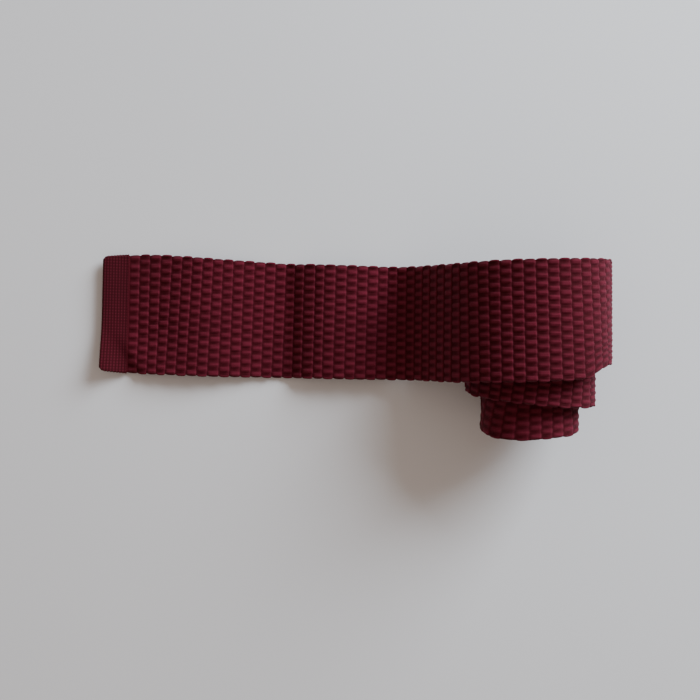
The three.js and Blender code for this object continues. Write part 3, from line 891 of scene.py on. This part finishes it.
def finish(name):
    """The finish of that name, made once."""
    found = bpy.data.materials.get(name)
    if found:
        return found
    knit = bpy.context.scene.necktie_knit
    if name == "Bump Knit":
        return yarn_finish(name, knit.knit_colour, strands_per_row=6.0, depth=0.00022, sheen=0.14)
    if name == "Fine Jersey":
        return yarn_finish(name, knit.jersey_colour, strands_per_row=2.0, depth=0.00006, sheen=0.12)
    if name == "Linking Thread":
        return thread_finish(name, knit.thread_colour, roughness=0.6)
    return thread_finish(name, knit.tape_colour, roughness=0.5)


# ---------------------------------------------------------------- what can be changed


class NecktieKnitSettings(bpy.types.PropertyGroup):
    column_length: bpy.props.FloatProperty(
        name="Column Length", description="Length of one column of bumps along the tie",
        default=0.00544, min=0.003, max=0.01, precision=5, unit="LENGTH", subtype="DISTANCE",
    )
    relief: bpy.props.FloatProperty(
        name="Relief", description="How far the bumps stand out of the gaps between them",
        default=0.00085, min=0.0002, max=0.001, precision=5, unit="LENGTH", subtype="DISTANCE",
    )
    blade_rows: bpy.props.IntProperty(
        name="Blade Rows", description="Bumps across the wide blade", default=14, min=8, max=24,
    )
    tail_rows: bpy.props.IntProperty(
        name="Tail Rows", description="Bumps across the tail", default=11, min=6, max=20,
    )
    neck_rows: bpy.props.IntProperty(
        name="Neck Rows", description="Bumps across the neck band", default=9, min=5, max=16,
    )
    knit_colour: bpy.props.FloatVectorProperty(
        name="Knit Colour", description="Colour of the chunky yarn", default=(0.138, 0.0122, 0.0290),
        size=3, min=0, max=1, subtype="COLOR",
    )
    jersey_colour: bpy.props.FloatVectorProperty(
        name="Hem Colour", description="Colour of the fine jersey hems", default=(0.102, 0.0092, 0.0205),
        size=3, min=0, max=1, subtype="COLOR",
    )
    thread_colour: bpy.props.FloatVectorProperty(
        name="Thread Colour", description="Colour of the sewing and linking threads",
        default=(0.075, 0.0045, 0.011), size=3, min=0, max=1, subtype="COLOR",
    )
    tape_colour: bpy.props.FloatVectorProperty(
        name="Tape Colour", description="Colour of the keeper and the stay tape",
        default=(0.062, 0.006, 0.0125), size=3, min=0, max=1, subtype="COLOR",
    )


class NecktieStageSettings(bpy.types.PropertyGroup):
    camera_height: bpy.props.FloatProperty(
        name="Camera Height", description="Height of the camera above the table",
        default=0.48, min=0.2, max=2, unit="LENGTH", subtype="DISTANCE",
    )
    view_width: bpy.props.FloatProperty(
        name="View Width", description="Width of table that the camera sees",
        default=0.37, min=0.1, max=2, unit="LENGTH", subtype="DISTANCE",
    )
    window_power: bpy.props.FloatProperty(
        name="Window Light", description="Power of the large soft light on the right",
        default=42.0, min=0, max=100, unit="POWER",
    )
    fill_strength: bpy.props.FloatProperty(
        name="Fill Light", description="Strength of the even light from all round",
        default=0.40, min=0, max=5,
    )
    floor_colour: bpy.props.FloatVectorProperty(
        name="Floor Colour", description="Colour of the table top", default=(0.82, 0.84, 0.89),
        size=3, min=0, max=1, subtype="COLOR",
    )


# ---------------------------------------------------------------- operators


class NECKTIE_OT_wide_blade(bpy.types.Operator):
    """Knit the wide blade, from its hem to the neck"""

    bl_idname = "necktie.wide_blade"
    bl_label = "Wide Blade"

    def execute(self, context):
        spec = blade_spec()
        make_stretches(spec, blade_cuts(spec), BLADE_STRETCHES, finish("Bump Knit"))
        return {"FINISHED"}


class NECKTIE_OT_tail(bpy.types.Operator):
    """Knit the tail, from its hem to the neck"""

    bl_idname = "necktie.tail"
    bl_label = "Tail"

    def execute(self, context):
        spec = tail_spec()
        make_stretches(spec, tail_cuts(spec), TAIL_STRETCHES, finish("Bump Knit"))
        return {"FINISHED"}


class NECKTIE_OT_neck_band(bpy.types.Operator):
    """Knit the neck band in the core of the roll, with the stay tape inside it"""

    bl_idname = "necktie.neck_band"
    bl_label = "Neck Band"

    def execute(self, context):
        spec = neck_spec()
        knit, closed = finish("Bump Knit"), (True, True)
        piece, width, length = knit_piece("knit_neck_band", spec, 0, spec["columns"], knit, closed)
        follow(piece, "inner_coil")
        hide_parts("neck_band")
        return {"FINISHED"}


class NECKTIE_OT_hems(bpy.types.Operator):
    """Knit the fine jersey hems at both ends"""

    bl_idname = "necktie.hems"
    bl_label = "Hems"

    def execute(self, context):
        wide = hem_piece("jersey_wide_hem", BLADE, HEM_LENGTH, BLADE_THICKNESS, hem_width)
        follow(wide, "blade_tip")
        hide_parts("wide_end_hem")
        tail = hem_piece("jersey_tail_hem", TAIL, TAIL_HEM_LENGTH, TAIL_THICKNESS, tail_hem_width)
        follow(tail, "tail_end")
        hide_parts("tail_end_hem")
        return {"FINISHED"}


class NECKTIE_OT_seams(bpy.types.Operator):
    """Sew the linking seams round the tubes and the whip stitches down their backs"""

    bl_idname = "necktie.seams"
    bl_label = "Seams"

    def execute(self, context):
        for name, node, body, *place in LINKING_SEAMS:
            follow(linking_stitches(name, *place, node), body)
        for spec, find_cuts, stretches in (
            (blade_spec(), blade_cuts, BLADE_STRETCHES),
            (tail_spec(), tail_cuts, TAIL_STRETCHES),
        ):
            cuts = find_cuts(spec)
            for number, (name, line, _, node) in enumerate(stretches):
                first, last = (spec["start"] + spec["size"] * cut for cut in cuts[number:number + 2])
                follow(back_stitches(name.replace("knit", "stitches"), spec, first, last, node), line)
        neck = back_stitches("stitches_neck", neck_spec(), 3, NECK_LENGTH - 3, "neck_seam")
        follow(neck, "inner_coil")
        return {"FINISHED"}


class NECKTIE_OT_keeper(bpy.types.Operator):
    """Weave the keeper loop under the tail and tack its two ends to the back of the blade"""

    bl_idname = "necktie.keeper"
    bl_label = "Keeper Loop"

    def execute(self, context):
        middle = distance_at(x=KEEPER_X + KEEPER_LENGTH / 2)
        top = float(ground_height(KEEPER_X + KEEPER_LENGTH / 2)) - CLEARANCE / 2
        inner = float(tail_width(distance_at(x=KEEPER_X))) / 2 + CLEARANCE + 0.2
        reach = float(blade_width(middle)) / 2 - 0.5
        half = KEEPER_THICKNESS / 2
        bevel = 1.1
        corners = [
            (reach, top - half),
            (inner + bevel, top - half),
            (inner + half, top - bevel),
            (inner + half, bevel),
            (inner + 0.1, half),
        ]
        path = np.array(corners + [(-y, z) for y, z in reversed(corners)])
        share = np.concatenate([[0], np.cumsum(np.linalg.norm(np.diff(path, axis=0), axis=1))])
        fine = np.linspace(0, share[-1], 120)
        y = np.interp(fine, share, path[:, 0]) + TABLE_SHIFT
        z = np.interp(fine, share, path[:, 1])
        start = KEEPER_X - ORIGIN_X
        left = np.stack([np.full_like(y, start), y, z], -1) * MM
        right = left + np.array([KEEPER_LENGTH * MM, 0, 0])
        loop = band_piece("woven_keeper_loop", left, right, KEEPER_THICKNESS * MM * 0.96, 8, "tape")
        follow(loop, "blade_rise")
        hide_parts("keeper_loop")
        tab = (inner + KEEPER_THICKNESS + CLEARANCE + reach) / 2
        tied = top - 0.7 + float(blade_loft(middle))
        stitches, first_stitch, stitch_gap = 9, 1.9, 0.9
        for side, node in ((-1, "keeper_tack_front"), (1, "keeper_tack_back")):
            threads = []
            for turn in range(stitches):
                x = start + first_stitch + turn * stitch_gap
                base = TABLE_SHIFT + side * tab
                line = [
                    (x, base - 0.85, tied),
                    (x + 0.12, base - 0.7, top - 1.12),
                    (x + 0.3, base, top - 1.2),
                    (x + 0.5, base + 0.7, top - 1.12),
                    (x + 0.6, base + 0.85, tied),
                ]
                threads.append(thread_tube(np.array(line) * MM, 0.26 * MM))
            tack = new_piece("stitched_" + node, *join_threads(threads), finish("Linking Thread"), "thread")
            follow(tack, "blade_rise")
            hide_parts(node)
        return {"FINISHED"}


class NECKTIE_OT_stay_tape(bpy.types.Operator):
    """Weave the stay tape that runs inside the neck band"""

    bl_idname = "necktie.stay_tape"
    bl_label = "Stay Tape"

    def execute(self, context):
        lengths = np.linspace(2, NECK_LENGTH - 2, 420)
        edges = (-TAPE_WIDTH / 2, TAPE_WIDTH / 2)
        left, right = (NECK.place(lengths, edge + 0 * lengths, 0 * lengths) for edge in edges)
        tape = band_piece("woven_stay_tape", left, right, TAPE_THICKNESS * MM, 5, "tape")
        follow(tape, "inner_coil")
        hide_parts("neck_stay_tape")
        return {"FINISHED"}


class NECKTIE_OT_stage(bpy.types.Operator):
    """Set out the table top, the lights and the camera"""

    bl_idname = "necktie.stage"
    bl_label = "Stage"

    def execute(self, context):
        stage = context.scene.necktie_stage
        in_front = 14.2
        view_centre = (0.001, (TABLE_SHIFT - STRIP_AT_KEEPER - in_front) * MM)
        bpy.ops.mesh.primitive_plane_add(size=4, location=(0, 0, -0.0002))
        floor = context.object
        floor.name = "floor"
        nodes = Nodes("Table Top")
        place = nodes.add("ShaderNodeTexCoord").outputs["Object"]
        tones = [scaled(stage.floor_colour, factor) for factor in (0.97, 1.03)]
        cloudy = nodes.mix(nodes.noise(place, 5), *tones)
        nodes.link(cloudy, nodes.shader.inputs["Base Color"])
        nodes.shader.inputs["Roughness"].default_value = 0.6
        nodes.shader.inputs["Specular IOR Level"].default_value = 0.2
        floor.data.materials.append(nodes.material)

        window = bpy.data.lights.new("window", "AREA")
        window.shape = "RECTANGLE"
        window.size, window.size_y = 0.9, 0.7
        window.energy = stage.window_power
        window.color = (0.87, 0.95, 1.0)
        lamp = bpy.data.objects.new("window", window)
        lamp.location = (1.0, 0.94, 0.62)
        lamp.rotation_euler = (Vector((0.02, 0, 0)) - lamp.location).to_track_quat("-Z", "Y").to_euler()
        context.scene.collection.objects.link(lamp)

        world = bpy.data.worlds.new("room")
        world.use_nodes = True
        background = world.node_tree.nodes["Background"]
        background.inputs["Color"].default_value = (1.0, 0.80, 0.66, 1)
        background.inputs["Strength"].default_value = stage.fill_strength
        context.scene.world = world

        sensor = 36
        camera = bpy.data.objects.new("camera", bpy.data.cameras.new("camera"))
        camera.location = (*view_centre, stage.camera_height)
        camera.data.sensor_width = sensor
        camera.data.lens = sensor * stage.camera_height / stage.view_width
        camera.data.clip_start = 0.01
        context.scene.collection.objects.link(camera)
        context.scene.camera = camera
        return {"FINISHED"}


class NECKTIE_PT_panel(bpy.types.Panel):
    """Everything the necktie is built from"""

    bl_idname = "NECKTIE_PT_panel"
    bl_label = "Rolled Knitted Necktie"
    bl_space_type = "VIEW_3D"
    bl_region_type = "UI"
    bl_category = "Necktie"

    def draw(self, context):
        layout = self.layout
        for operator in PIECES:
            layout.operator(operator.bl_idname)
        for settings in (context.scene.necktie_knit, context.scene.necktie_stage):
            column = layout.column()
            for name in settings.__annotations__:
                column.prop(settings, name)


PIECES = (
    NECKTIE_OT_stage,
    NECKTIE_OT_wide_blade,
    NECKTIE_OT_tail,
    NECKTIE_OT_neck_band,
    NECKTIE_OT_hems,
    NECKTIE_OT_seams,
    NECKTIE_OT_keeper,
    NECKTIE_OT_stay_tape,
)
CLASSES = (NecktieKnitSettings, NecktieStageSettings, *PIECES, NECKTIE_PT_panel)


def register():
    for cls in CLASSES:
        bpy.utils.register_class(cls)
    bpy.types.Scene.necktie_knit = bpy.props.PointerProperty(type=NecktieKnitSettings)
    bpy.types.Scene.necktie_stage = bpy.props.PointerProperty(type=NecktieStageSettings)


def unregister():
    del bpy.types.Scene.necktie_knit
    del bpy.types.Scene.necktie_stage
    for cls in reversed(CLASSES):
        bpy.utils.unregister_class(cls)


def main():
    register()
    bpy.ops.necktie.stage()
    bpy.ops.necktie.wide_blade()
    bpy.ops.necktie.tail()
    bpy.ops.necktie.neck_band()
    bpy.ops.necktie.hems()
    bpy.ops.necktie.seams()
    bpy.ops.necktie.keeper()
    bpy.ops.necktie.stay_tape()


if __name__ == "__main__":
    main()
